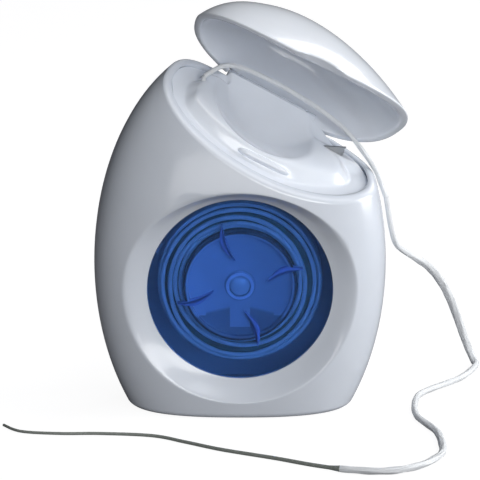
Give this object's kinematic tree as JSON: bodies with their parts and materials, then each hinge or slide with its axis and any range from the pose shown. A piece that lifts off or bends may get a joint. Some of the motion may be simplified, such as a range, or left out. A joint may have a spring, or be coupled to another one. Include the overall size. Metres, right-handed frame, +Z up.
{
  "type": "dental floss dispenser",
  "caption": "Egg-shaped floss dispenser with a slanted deck, a lid that flips up on a slanted hinge, a steel cutter and a spool that turns behind a round blue window.",
  "frame": {"origin": "middle of the base, on the surface that the dispenser stands on", "axes": "+X to the right seen from the window, +Y to the back, +Z up"},
  "size_m": [0.0971, 0.0659, 0.0807],
  "materials": {
    "shell": "gloss white",
    "lens": "clear blue plastic, polished",
    "spool": "translucent blue, gloss",
    "cutter": "bright steel",
    "floss": "waxed white fibre"
  },
  "bodies": {
    "case": {"front_shell": "shell", "rear_shell": "shell", "deck": "shell", "cutter": "cutter", "window_lens": "lens", "floss_lead": "floss", "floss_over_deck": "floss", "floss_strand": "floss"},
    "lid": {"lid": "shell"},
    "spool": {"spool": "spool", "floss_core": "floss", "floss_winding": "floss"}
  },
  "joints": [
    {"name": "lid_hinge", "type": "hinge", "parent": "case", "child": "lid", "pos_m": [0.006, 0.00892, 0.06059], "axis": [0.8771, 0, -0.4802], "range_deg": [-20, 62], "deforming": ["floss_over_deck"]},
    {"name": "spool_spin", "type": "hinge", "parent": "case", "child": "spool", "pos_m": [0, 0, 0.026], "axis": [0, 1, 0], "continuous": true}
  ]
}
